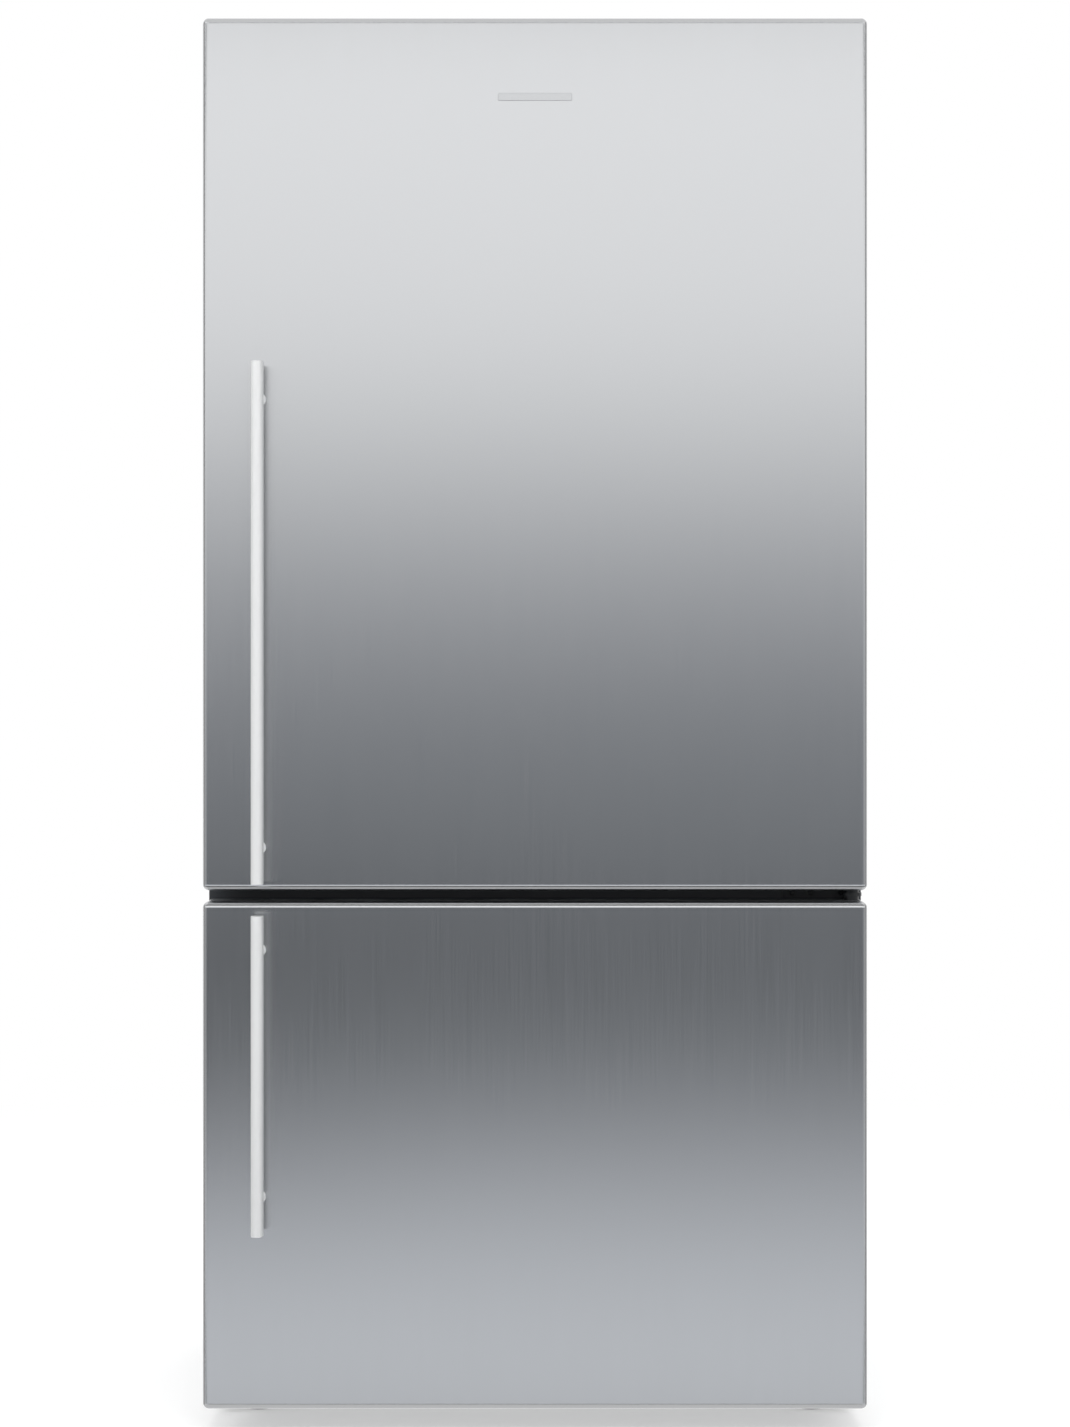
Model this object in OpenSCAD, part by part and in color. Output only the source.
// Two-door fridge-freezer: a tall fridge door over a freezer door, both hinged on the right.
// Origin on the floor under the middle of the object, +Z up, +X to the right of someone facing it,
// and the doors face -Y. All sizes are in millimetres.

/* [Overall] */
// Width over the cabinet and over each door
body_w = 790; // [700:5:900]
// Depth of the cabinet behind the door seal
body_d = 611; // [580:1:680]
// Height of the fridge door
fridge_door_h = 1037; // [1000:1:1150]
// Height of the freezer door
freezer_door_h = 603; // [590:1:640]
// Height of the freezer door's lower edge above the floor
door_clear_z = 30; // [28:1:50]
// Gap between the two doors
door_gap = 13.5; // [13:0.5:18]
// Drop of the cabinet roof below the top of the fridge door
roof_drop = 10; // [8:1:10]

/* [Doors] */
// Thickness of a door from its steel face to its rear plane
door_t = 70; // [66:1:80]
// Space between a door's rear plane and the cabinet face, filled by the seal
seal_gap = 14; // [12:1:16]
// Radius of the rolled edges of a door
edge_r = 7; // [4:1:9]
// Thickness of the outer steel sheets
sheet_t = 0.8; // [0.6:0.1:1.2]
// Depth of the steel lip folded over a door's top and bottom ends
lip_d = 20; // [16:1:26]
// Width of the steel return at a door's rear
return_w = 15; // [12:1:16]
// Thickness of a moulded door end cap
cap_t = 5; // [3:1:7]
// Width of the raised ridge that runs round a door liner
dyke_w = 34; // [28:1:40]
// How far the fridge door's ridge stands into the cabinet from the door's rear plane
fridge_dyke_d = 60; // [50:1:64]
// How far the freezer door's ridge stands into the cabinet from the door's rear plane
freezer_dyke_d = 30; // [24:1:32]
// How far the door bins reach in from the door's rear plane
bin_reach = 110; // [100:1:112]

/* [Handles] */
// Width of a handle bar
handle_w = 14; // [12:1:18]
// Depth of a handle bar, front to back
handle_d = 22; // [18:1:26]
// Reach of a handle in front of its door
handle_out = 44; // [40:1:55]
// Distance of a handle's centre line from the opening edge of the door
handle_inset = 67.5; // [50:0.5:80]
// Length of the fridge door's handle
fridge_handle_l = 616; // [400:1:800]
// Length of the freezer door's handle
freezer_handle_l = 377; // [250:1:450]
// Height of the fridge handle's lower end above the door's lower edge
fridge_handle_rise = 9; // [5:1:60]
// Drop of the freezer handle's upper end below the door's upper edge
freezer_handle_drop = 15; // [5:1:60]
// Radius of a handle post
post_r = 5.5; // [4:0.5:6.5]
// Distance of each post from the end of its handle
post_inset = 42; // [25:1:80]

/* [Hinges] */
// Radius of the hinge pins
pin_r = 5; // [4:0.5:6]
// Radial clearance of a pin in its bush
pin_clear = 0.05; // [0.02:0.01:0.1]
// Depth of a pin in its bush
pin_in = 18; // [14:1:20]
// Distance of the hinge line from the side of the door
pin_side = 15; // [13:1:18]
// Distance of the hinge line from the door's rear plane
pin_back = 25; // [22:1:30]
// Half width of a hinge arm
arm_r = 12; // [10:1:12]
// Thickness of the hinge plates
plate_t = 4; // [3:0.5:5]
// Depth of the recess in a door end that hides a hinge arm
notch_h = 12; // [11:1:14]

/* [Cabinet] */
// Foam wall beside the fridge space
fridge_wall = 50; // [46:1:56]
// Foam wall beside the freezer space
freezer_wall = 65; // [62:1:68]
// Foam over the fridge space
roof_wall = 52; // [46:1:60]
// Foam behind both spaces
back_wall = 58; // [50:1:64]
// Foam under the freezer space
floor_wall = 70; // [66:1:80]
// Height of the divider between the two spaces
mullion_h = 78; // [76:1:90]
// Thickness of the moulded liners
liner_t = 2.5; // [2:0.5:3]
// Width of the steel flange round the cabinet face
flange_w = 40; // [36:1:42]
// Height of the steel cross rails in the cabinet face
rail_h = 60; // [56:1:62]
// Thickness of the rails, the base pan and the kick plate
pan_t = 1.2; // [1:0.1:2]
// Depth of the compressor space at the lower back
machine_d = 215; // [205:1:225]
// Height of the compressor space above the base pan
machine_h = 210; // [205:1:220]
// Foam between the compressor space and the freezer
step_wall = 60; // [54:1:64]

/* [Fridge interior] */
// Distance of shelves and crispers behind the hinge line
shelf_back = 148; // [142:1:170]
// Height of the crisper space
crisper_h = 196; // [180:1:210]
// Spacing of the ledges in the fridge liner
ledge_pitch = 60; // [50:1:62]
// Number of ledge levels above the crisper cover
ledge_count = 10; // [9:1:10]
// Thickness of a glass shelf
glass_t = 4; // [3:0.5:5]
// Height of a shelf frame
frame_h = 12; // [10:1:16]
// Width of a shelf frame's rim
frame_w = 16; // [12:1:22]
// Wall of the bins and crispers
bin_t = 2.5; // [2:0.5:3]
// Running clearance round drawers, slides and buttons
slide_clear = 0.4; // [0.3:0.1:0.8]

/* [Freezer interior] */
// Distance of the freezer bins behind the hinge line
freezer_bin_back = 76; // [74:1:90]
// Width of the freezer liner's ledges
freezer_ledge_w = 41; // [36:1:44]
// Depth of the space for the evaporator
evaporator_d = 83; // [78:1:90]

/* [Fans and compressor] */
// Radius of the evaporator fan
evap_fan_r = 46; // [36:1:48]
// Radius of the condenser fan
cond_fan_r = 76; // [60:1:80]
// Number of blades on each fan
blade_count = 7; // [5:1:9]
// Radius of the compressor shell
shell_r = 80; // [70:1:84]

/* [Hidden] */
$fn = 48;

eps = 0.01;
half_w = body_w / 2;

// Depths, front to back
total_d = handle_out + door_t + seal_gap + body_d;
y_back = total_d / 2;
y_front = y_back - body_d;
y_door_rear = y_front - seal_gap;
y_door_front = y_door_rear - door_t;
y_handle = y_door_front - handle_out;

// Heights, floor to roof
freezer_z0 = door_clear_z;
freezer_z1 = freezer_z0 + freezer_door_h;
fridge_z0 = freezer_z1 + door_gap;
fridge_z1 = fridge_z0 + fridge_door_h;
gap_z = (freezer_z1 + fridge_z0) / 2;
roof_z = fridge_z1 - roof_drop;
base_rise = 10;
base_z = door_clear_z + base_rise;

// Hinge line
x_pin = half_w - pin_side;
y_pin = y_door_rear - pin_back;
bush_r = pin_r + pin_clear;
collar_r = pin_r + 3.5;
collar_clear = 0.3;
arm_clear = 2;
notch_d = 32;
boss_w = 25;
boss_d = 38;
boss_h = notch_h + pin_in + 4;
leaf_l = 80;
leaf_t = 3;
hinge_plate_l = 75;
hinge_plate_d = 70;
bolt_r = 6;
bolt_h = 5;
function behind_pin(d) = y_pin + d;

// Cabinet spaces, measured on the foam side of the liners
fridge_x = half_w - fridge_wall;
freezer_x = half_w - freezer_wall;
fridge_floor = gap_z + mullion_h / 2;
fridge_roof = roof_z - roof_wall;
freezer_floor = base_z + floor_wall;
freezer_roof = gap_z - mullion_h / 2;
space_back = y_back - back_wall;
machine_y = y_back - machine_d;
machine_z = base_z + machine_h;
step_y = machine_y - step_wall;
step_z = machine_z + step_wall;
wrap_r = 4;
fridge_r = 22;
freezer_r = 18;
rail_low_top = freezer_floor - 9;
rail_depth = 18;
face_x = half_w - flange_w;

// Fridge interior
cover_z = fridge_floor + liner_t + crisper_h;
cover_top = cover_z + frame_h + 2;
function ledge_z(i) = cover_top + 60 + i * ledge_pitch;
shelf_levels = [2, 5, 8];
ledge_w = 9;
ledge_t = 6;
duct_d = 26;
duct_w = 220;
shelf_y0 = behind_pin(shelf_back);
shelf_y1 = space_back - liner_t - duct_d - 4;
frame_x = fridge_x - liner_t - 1;
frame_r = 6;
seat_w = 5;
seat_clear = 0.3;
seat_r = 4;
glass_x = frame_x - seat_w;
crisper_y0 = shelf_y0 - 3;
crisper_y1 = space_back - liner_t - 16;
crisper_z0 = fridge_floor + liner_t + 5;
rail_foot_w = 14;
rail_web_t = 3;
rail_drop = 18;
rail_foot_z = cover_z - rail_drop;
rim_t = 3;

// Door interiors
fridge_dyke_x = fridge_x - 20;
freezer_dyke_x = freezer_x - 12;
dyke_gap = 11.5;
dyke_r = 20;
dyke_in_r = 12;
strip_gap = 0.05;
fridge_dyke_z0 = fridge_floor + dyke_gap;
fridge_dyke_z1 = fridge_roof - dyke_gap - 2;
freezer_dyke_z0 = freezer_floor + dyke_gap + 2;
freezer_dyke_z1 = freezer_roof - dyke_gap;
pocket_x = fridge_dyke_x - dyke_w;
bin_x = pocket_x - 8;
bin_y0 = y_door_rear + 0.3;
bin_y1 = y_door_rear + bin_reach;
bottle_z = fridge_dyke_z0 + dyke_w + 12;
bottle_h = 140;
middle_bin_z = bottle_z + 238;
upper_bin_z = middle_bin_z + 236;
door_bin_h = 92;
dairy_h = 100;
dairy_z = fridge_dyke_z1 - dyke_w - dairy_h - 4;
lug_h = 14;
tab_rise = 30;
tab_h = 8;
flap_y = y_door_rear + bin_reach - 14;
flap_z = dairy_z + dairy_h - 12;
flap_pin_r = 3;

// Seals
seal_w = 24;
seal_side = 19;
seal_roof = 9;
seal_gap_side = 5.5;
seal_base = 22;

// Freezer interior
freezer_in_x = freezer_x - liner_t;
bin_rim_x = freezer_in_x - freezer_ledge_w + 16;
freezer_bin_x = freezer_in_x - freezer_ledge_w - 4;
freezer_bin_y0 = behind_pin(freezer_bin_back);
evap_y0 = space_back - liner_t - evaporator_d;
low_bin_z0 = freezer_floor + liner_t + 8;
low_bin_z1 = step_z - 12;
mid_bin_z0 = step_z + liner_t + 10;
mid_bin_z1 = mid_bin_z0 + 128;
top_bin_z0 = mid_bin_z1 + 13;
top_bin_z1 = freezer_roof - liner_t - 20;
bin_front_t = 5;

// Evaporator and its cover
cover_x = freezer_in_x - 26;
evap_cover_z0 = step_z + liner_t + 3;
evap_cover_z1 = freezer_roof - liner_t - 4;
evap_fan_z = evap_cover_z1 - evap_fan_r - 14;
evap_coil_z0 = evap_cover_z0 + 12;
evap_rows = 4;
evap_row_pitch = 32;
tube_r = 4;
evap_fan_y = evap_y0 + 6;
evap_fan_depth = 20;
evap_cover_t = 2.5;

// Motors
motor_gap = 1.5;
motor_bore = 3.05;
shaft_r = 3;
motor_arm_t = 3;

// Machine space
deck_z = base_z + pan_t;
machine_mid_y = (machine_y + y_back) / 2;
cond_fan_x = -118;
cond_fan_rise = min(18, (machine_z - deck_z) / 2 - cond_fan_r);
cond_fan_z = deck_z + cond_fan_r + cond_fan_rise;
cond_fan_depth = 30;
fan_ring_t = 2.5;
coil_x = cond_fan_x - 75;
coil_row_pitch = 30;
coil_z0 = deck_z + 16;
header_r = 6;
header_rise = 4;
stub_h = 2;
pipe_r = 4;
pipe_bend_r = 14;
pipe_z = machine_z - 11;
pipe_y = machine_mid_y - 46;
coil_room = pipe_z - pipe_bend_r - stub_h - header_r - header_rise - 0.5 - coil_z0;
coil_rows = floor(coil_room / coil_row_pitch);
coil_z1 = coil_z0 + coil_rows * coil_row_pitch;
header_z = coil_z1 + header_rise;
stub_z = header_z + header_r + stub_h;
compressor_x = 190;
mount_dx = 96;
mount_dy = 56;
mount_h = 18;
gland_x = 330;
gland_z = base_z + 45;
gland_r = 8;
gland_clear = 0.15;
cover_recess = 7;
cover_fold = 2;

// Feet, rollers
foot_x = half_w - 55;
foot_y = y_front + 84;
stem_r = 5;
roller_r = 16;
roller_w = 18;
roller_x = half_w - 65;
roller_y = y_back - 62;
axle_r = 4;

// Console, slides and buttons
console_x = 100;
console_h = 22;
console_y0 = behind_pin(112);
console_y1 = console_y0 + 105;
console_z1 = fridge_roof - liner_t;
console_z0 = console_z1 - console_h;
button_r = 6;
button_z = console_z0 + 11;
slide_travel = 40;
slide_x = [-210, 170];
slide_knob_w = 26;

// Shapes that repeat

module block(x0, x1, y0, y1, z0, z1) {
  translate([x0, y0, z0]) cube([x1 - x0, y1 - y0, z1 - z0]);
}

// Extrudes an outline drawn in x and z along y
module slab_y(y0, y1) {
  translate([0, y1, 0]) rotate([90, 0, 0]) linear_extrude(height = y1 - y0) children();
}

module slab_z(z0, z1) {
  translate([0, 0, z0]) linear_extrude(height = z1 - z0) children();
}

// Extrudes an outline drawn in y and z along x
module slab_x(x0, x1) {
  translate([x0, 0, 0]) rotate([90, 0, 90]) linear_extrude(height = x1 - x0) children();
}

module rect(x0, x1, y0, y1) {
  translate([x0, y0]) square([x1 - x0, y1 - y0]);
}

module circle_at(x, y, r) {
  translate([x, y]) circle(r = r);
}

module round_rect(x0, x1, y0, y1, r) {
  rect(x0 + r, x1 - r, y0, y1);
  rect(x0, x1, y0 + r, y1 - r);
  for (x = [x0 + r, x1 - r], y = [y0 + r, y1 - r]) circle_at(x, y, r);
}

module rod_x(x0, x1, y, z, r) {
  translate([x0, y, z]) rotate([0, 90, 0]) cylinder(r = r, h = x1 - x0);
}

module rod_y(x, y0, y1, z, r) {
  translate([x, y0, z]) rotate([-90, 0, 0]) cylinder(r = r, h = y1 - y0);
}

module rod_z(x, y, z0, z1, r) {
  translate([x, y, z0]) cylinder(r = r, h = z1 - z0);
}

// Cabinet

// Section of the wrapper in x and z, drawn in by inset, open at the bottom
module wrapper_outline(inset, z0) {
  r = wrap_r - inset;
  rect(inset - half_w, half_w - inset, z0, roof_z - wrap_r);
  rect(wrap_r - half_w, half_w - wrap_r, roof_z - wrap_r - eps, roof_z - inset);
  for (s = [-1, 1]) circle_at(s * (half_w - wrap_r), roof_z - wrap_r, r);
}

module cabinet_wrapper() {
  color("#94979a") {
    slab_y(y_front, y_back) difference() {
      wrapper_outline(0, base_z);
      wrapper_outline(sheet_t, base_z - 1);
    }
    slab_y(y_front, y_front + sheet_t) difference() {
      wrapper_outline(sheet_t / 2, base_z);
      rect(-face_x, face_x, base_z - 1, roof_z - flange_w);
    }
  }
}

module back_panel() {
  color("#c9cbcc") slab_y(y_back - sheet_t, y_back) difference() {
    wrapper_outline(sheet_t, machine_z);
    // ports through which the foam is filled
    for (s = [-1, 1]) circle_at(s * 200, machine_z + 78, 14);
  }
}

module fridge_space(inset, y0) {
  slab_y(y0, space_back - inset)
    round_rect(inset - fridge_x, fridge_x - inset, fridge_floor + inset, fridge_roof - inset,
      fridge_r - inset);
}

module freezer_space(inset, y0) {
  r = freezer_r - inset;
  slab_y(y0, step_y - inset)
    round_rect(inset - freezer_x, freezer_x - inset, freezer_floor + inset, freezer_roof - inset, r);
  slab_y(y0, space_back - inset)
    round_rect(inset - freezer_x, freezer_x - inset, step_z + inset, freezer_roof - inset, r);
}

// Moulded ledge that tapers down to the wall under its top face
module ledge(side, wall_x, w, z, h, y0, y1) {
  slab_y(y0, y1) polygon([
    [side * (wall_x + eps), z], [side * (wall_x - w), z],
    [side * (wall_x - w), z - h / 2], [side * (wall_x + eps), z - h]
  ]);
}

module fridge_liner() {
  in_x = fridge_x - liner_t;
  color("#f1f2f2") {
    difference() {
      union() {
        fridge_space(0, y_front);
        block(-face_x, face_x, y_front, y_front + liner_t, gap_z + rail_h / 2, roof_z - flange_w);
      }
      fridge_space(liner_t, y_front - 1);
    }
    for (s = [-1, 1]) {
      for (i = [0 : ledge_count - 1])
        ledge(s, in_x, ledge_w, ledge_z(i), 2 * ledge_t, shelf_y0 + 8, space_back - liner_t - 40);
      ledge(s, in_x, ledge_w, cover_z, 2 * ledge_t, shelf_y0 + 8, space_back - liner_t - 40);
    }
  }
}

module freezer_liner() {
  color("#f1f2f2") {
    difference() {
      union() {
        freezer_space(0, y_front);
        block(-face_x, face_x, y_front, y_front + liner_t, rail_low_top, gap_z - rail_h / 2);
      }
      freezer_space(liner_t, y_front - 1);
    }
    for (s = [-1, 1]) {
      for (z = [mid_bin_z1 - rim_t - slide_clear, top_bin_z1 - rim_t - slide_clear])
        ledge(s, freezer_in_x, freezer_ledge_w, z, 18, freezer_bin_y0 + 12, evap_y0 - 4);
      ledge(s, freezer_in_x, freezer_ledge_w, low_bin_z1 - rim_t - slide_clear, 18,
        freezer_bin_y0 + 12, step_y - liner_t - 2);
    }
  }
}

// Folded steel rail: a front plate and two returns that run back into the foam
module rail_shape(z0, z1) {
  block(-face_x, face_x, y_front, y_front + pan_t, z0, z1);
  block(-face_x, face_x, y_front, y_front + rail_depth, z0, z0 + pan_t);
  block(-face_x, face_x, y_front, y_front + rail_depth, z1 - pan_t, z1);
}

module cross_rails() {
  color("#505356") {
    rail_shape(gap_z - rail_h / 2, gap_z + rail_h / 2);
    rail_shape(base_z + pan_t, rail_low_top);
  }
}

module cabinet_foam() {
  color("#f3e6bd") difference() {
    slab_y(y_front + sheet_t, y_back - sheet_t) wrapper_outline(sheet_t, base_z + pan_t);
    fridge_space(0, y_front);
    freezer_space(0, y_front);
    block(-face_x, face_x, y_front, y_front + liner_t, gap_z + rail_h / 2, roof_z - flange_w);
    block(-face_x, face_x, y_front, y_front + liner_t, rail_low_top, gap_z - rail_h / 2);
    rail_shape(gap_z - rail_h / 2, gap_z + rail_h / 2);
    rail_shape(base_z + pan_t, rail_low_top);
    block(-half_w, half_w, machine_y - pan_t, y_back + 1, base_z, machine_z + pan_t);
  }
}

module base_pan() {
  in_x = half_w - sheet_t;
  ear_gap = roller_w / 2 + 1;
  ear_t = 2;
  boss_r = 12;
  color("#8d9092") difference() {
    union() {
      block(-in_x, in_x, y_front + sheet_t, y_back - sheet_t, base_z, base_z + pan_t);
      block(-in_x, in_x, machine_y - pan_t, machine_y, base_z, machine_z + pan_t);
      block(-in_x, in_x, machine_y - pan_t, y_back - sheet_t, machine_z, machine_z + pan_t);
      for (s = [-1, 1]) {
        // threaded boss for the foot
        rod_z(s * foot_x, foot_y, base_z - 16, base_z + eps, boss_r);
        // bracket ears and axle for the roller
        for (e = [-1, 1])
          slab_x(s * roller_x + e * ear_gap - (e < 0 ? ear_t : 0),
            s * roller_x + e * ear_gap + (e < 0 ? 0 : ear_t)) {
            rect(roller_y - 14, roller_y + 14, roller_r, base_z + eps);
            circle_at(roller_y, roller_r, 11);
          }
        rod_x(s * roller_x - ear_gap - ear_t - 1, s * roller_x + ear_gap + ear_t + 1,
          roller_y, roller_r, axle_r);
      }
    }
    for (s = [-1, 1]) rod_z(s * foot_x, foot_y, base_z - 17, base_z - 1, stem_r + pin_clear);
    // air slots under the condenser
    for (i = [0 : 7]) block(coil_x - 60, coil_x - 20, machine_y + 24 + i * 22,
      machine_y + 32 + i * 22, base_z - 1, base_z + pan_t + 1);
  }
}

module kick_plate() {
  y0 = y_door_front + 125;
  x1 = half_w - 8;
  z0 = 8;
  slots = 26;
  pitch = (2 * x1 - 60) / slots;
  color("#3b3d3f") {
    difference() {
      block(-x1, x1, y0, y0 + pan_t, z0, base_z);
      for (i = [0 : slots - 1])
        slab_y(y0 - 1, y0 + pan_t + 1)
          round_rect(-x1 + 32 + i * pitch, -x1 + 32 + (i + 1) * pitch - 8, z0 + 8, base_z - 10, 2.5);
    }
    block(-x1, x1, y0, y0 + 22, base_z - pan_t, base_z);
    block(-x1, x1, y0, y0 + 10, z0, z0 + pan_t);
    for (s = [-1, 1]) block(min(s * x1, s * (x1 - pan_t)), max(s * x1, s * (x1 - pan_t)),
      y0, y0 + 22, z0, base_z);
  }
}

// Hinges

module top_hinge() {
  color("#303234") {
    slab_z(roof_z, roof_z + plate_t) {
      circle_at(x_pin, y_pin, arm_r);
      rect(x_pin - arm_r, x_pin + arm_r, y_pin, y_front + 20);
      round_rect(x_pin - hinge_plate_l, x_pin + arm_r, y_front + 8, y_front + hinge_plate_d, 6);
    }
    rod_z(x_pin, y_pin, fridge_z1 - notch_h - pin_in, roof_z + eps, pin_r);
    // bolt heads that hold the plate to the roof
    for (p = [[15 - hinge_plate_l, 22], [15 - hinge_plate_l, hinge_plate_d - 14], [-8, hinge_plate_d - 14]])
      rod_z(x_pin + p[0], y_front + p[1], roof_z + plate_t - eps, roof_z + plate_t + bolt_h, bolt_r, $fn = 6);
  }
}

module hinge_cover() {
  h = 24;
  t = 2;
  x0 = x_pin - hinge_plate_l - 9;
  x1 = half_w - 1;
  y0 = y_front + 2;
  y1 = y_front + hinge_plate_d + 12;
  color("#8f9294") difference() {
    slab_z(roof_z, roof_z + h) round_rect(x0, x1, y0, y1, 9);
    slab_z(roof_z - 1, roof_z + h - t) round_rect(x0 + t, x1 - t, y0 + t, y1 - t, 7);
    block(x_pin - arm_r - 0.6, half_w, y0 - 1, y0 + t + 8, roof_z - 1, roof_z + plate_t + 0.6);
  }
}

module middle_hinge() {
  leaf_h = 11;
  collar_h = door_gap / 2 - plate_t / 2 - collar_clear;
  color("#303234") {
    block(x_pin - leaf_l, half_w - 3, y_front - leaf_t, y_front, gap_z - leaf_h, gap_z + leaf_h);
    slab_z(gap_z - plate_t / 2, gap_z + plate_t / 2) {
      circle_at(x_pin, y_pin, arm_r);
      rect(x_pin - arm_r, x_pin + arm_r, y_pin, y_front - leaf_t + eps);
    }
    rod_z(x_pin, y_pin, gap_z - plate_t / 2 - collar_h, gap_z + plate_t / 2 + collar_h, collar_r);
    rod_z(x_pin, y_pin, freezer_z1 - pin_in, fridge_z0 + pin_in, pin_r);
  }
}

module bottom_hinge() {
  arm_z = freezer_z0 + plate_t;
  color("#303234") {
    block(x_pin - leaf_l, half_w - 3, y_front - leaf_t, y_front, arm_z, base_z + 18);
    slab_z(arm_z, arm_z + plate_t) {
      circle_at(x_pin, y_pin, arm_r);
      rect(x_pin - arm_r, x_pin + arm_r, y_pin, y_front - leaf_t + eps);
    }
    rod_z(x_pin, y_pin, arm_z, freezer_z0 + notch_h - collar_clear, collar_r);
    rod_z(x_pin, y_pin, arm_z, freezer_z0 + notch_h + pin_in, pin_r);
  }
}

// Doors

// Block with rolled front edges and rolled corners: w wide, d deep, h high, front at y = 0
module pan_block(w, d, h, r) {
  x = w / 2 - r;
  block(-x, x, 0, d, r, h - r);
  block(-w / 2, w / 2, r, d, r, h - r);
  block(-x, x, r, d, 0, h);
  for (s = [-1, 1]) {
    rod_z(s * x, r, r, h - r, r);
    for (z = [r, h - r]) {
      rod_y(s * x, r, d, z, r);
      translate([s * x, r, z]) sphere(r = r);
    }
  }
  for (z = [r, h - r]) rod_x(-x, x, r, z, r);
}

// Space round a hinge arm in a door end; up is +1 at a top end and -1 at a bottom end
module notch(z_end, up) {
  z0 = up > 0 ? z_end - notch_h : z_end - 1;
  z1 = up > 0 ? z_end + 1 : z_end + notch_h;
  block(x_pin - arm_r - arm_clear, half_w + 1, y_pin - notch_d, y_door_rear + 1, z0, z1);
}

module door_skin(z0, z1, top_notch, bottom_notch) {
  h = z1 - z0;
  t = sheet_t;
  difference() {
    translate([0, y_door_front, z0]) pan_block(body_w, door_t, h, edge_r);
    translate([0, y_door_front + t, z0 + t])
      pan_block(body_w - 2 * t, door_t, h - 2 * t, edge_r - t);
    for (z = [z0 - 1, z1 - t - eps])
      block(edge_r - half_w, half_w - edge_r, y_door_front + lip_d, y_door_rear + 1, z, z + t + 1 + eps);
    if (top_notch) notch(z1, 1);
    if (bottom_notch) notch(z0, -1);
  }
  // returns folded in behind the foam: up to the caps on the handle side, up to the bosses on the hinge side
  block(t / 2 - half_w, return_w - half_w, y_door_rear - t, y_door_rear, z0 + t + cap_t, z1 - t - cap_t);
  block(half_w - return_w, half_w - t / 2, y_door_rear - t, y_door_rear, z0 + boss_h, z1 - boss_h);
}

// Solid corner of an end cap that takes the hinge bush, rounded like the steel round it
module hinge_boss(z_end, up) {
  r = edge_r - sheet_t;
  x0 = x_pin - boss_w;
  x1 = half_w - sheet_t;
  inner = z_end - up * boss_h;
  outer = z_end - up * sheet_t;
  corner = z_end - up * edge_r;
  slab_y(y_pin - boss_d, y_door_rear) {
    rect(x0, x1 - r, min(inner, outer), max(inner, outer));
    rect(x0, x1, min(inner, corner), max(inner, corner));
    circle_at(x1 - r, corner, r);
  }
}

module door_cap(z_end, up, notched) {
  depth = up > 0 ? -1 : 1;
  inner = z_end + depth * (sheet_t + cap_t);
  outer = z_end + depth * sheet_t;
  x = half_w - edge_r;
  bore_end = z_end + depth * ((notched ? notch_h : 0) + pin_in + 1);
  difference() {
    union() {
      block(-x, x, y_door_front + edge_r, y_door_rear, min(inner, outer), max(inner, outer));
      block(-x, x, y_door_front + lip_d, y_door_rear, min(z_end, outer), max(z_end, outer));
      hinge_boss(z_end, up);
    }
    if (notched) notch(z_end, up);
    rod_z(x_pin, y_pin, min(bore_end, z_end - depth), max(bore_end, z_end - depth), bush_r);
    // grip and drain slots in the cap, clear of the hinge
    for (i = [0 : 5])
      block(-x + 60 + i * 90, -x + 110 + i * 90, y_door_rear - 18, y_door_rear - 12,
        min(z_end - depth, z_end + depth * 3), max(z_end - depth, z_end + depth * 3));
  }
}

// Ring of a door liner's ridge in x and z, drawn in by inset on both of its sides
module dyke_ring(x, z0, z1, inset) {
  difference() {
    round_rect(inset - x, x - inset, z0 + inset, z1 - inset, dyke_r - inset);
    round_rect(dyke_w - inset - x, x - dyke_w + inset, z0 + dyke_w - inset, z1 - dyke_w + inset, dyke_in_r);
  }
}

// Section of the foam strips in a liner's ridge: two long ones with rounded corners, two between them
module dyke_strips(x, z0, z1) {
  w = dyke_w - liner_t;
  difference() {
    round_rect(liner_t - x, x - liner_t, z0 + liner_t, z1 - liner_t, dyke_r - liner_t);
    rect(w - x, x - w, z0 + w, z1 - w);
    for (s = [-1, 1]) rect(s * (x - w) - strip_gap / 2, s * (x - w) + strip_gap / 2, z0, z1);
  }
}

module door_foam(z0, z1, dyke_x, dyke_z0, dyke_z1, dyke_d) {
  t = sheet_t;
  end = t + cap_t;
  core_y = y_door_rear - liner_t;
  difference() {
    intersection() {
      translate([0, y_door_front + t, z0 + t])
        pan_block(body_w - 2 * t, door_t - 2 * t, z1 - z0 - 2 * t, edge_r - t);
      block(-half_w, half_w, y_door_front, core_y, z0 + end, z1 - end);
    }
    hinge_boss(z1, 1);
    hinge_boss(z0, -1);
  }
  slab_y(core_y + strip_gap, y_door_rear + dyke_d - liner_t) dyke_strips(dyke_x, dyke_z0, dyke_z1);
}

module door_liner(z0, z1, dyke_x, dyke_z0, dyke_z1, dyke_d, bin_levels) {
  end = sheet_t + cap_t;
  difference() {
    union() {
      block(return_w - half_w, half_w - return_w, y_door_rear - liner_t, y_door_rear, z0 + end, z1 - end);
      slab_y(y_door_rear - liner_t, y_door_rear + dyke_d) dyke_ring(dyke_x, dyke_z0, dyke_z1, 0);
    }
    slab_y(y_door_rear - liner_t - 1, y_door_rear + dyke_d - liner_t)
      dyke_ring(dyke_x, dyke_z0, dyke_z1, liner_t);
    hinge_boss(z1, 1);
    hinge_boss(z0, -1);
  }
  // lugs that carry the door bins
  for (z = bin_levels, s = [-1, 1])
    slab_y(y_door_rear + 12, y_door_rear + 34) polygon([
      [s * (pocket_x + eps), z + tab_rise - 0.3], [s * (pocket_x - 6), z + tab_rise - 0.3],
      [s * (pocket_x - 6), z + tab_rise - 0.3 - lug_h / 2], [s * (pocket_x + eps), z + tab_rise - lug_h]
    ]);
}

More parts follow.
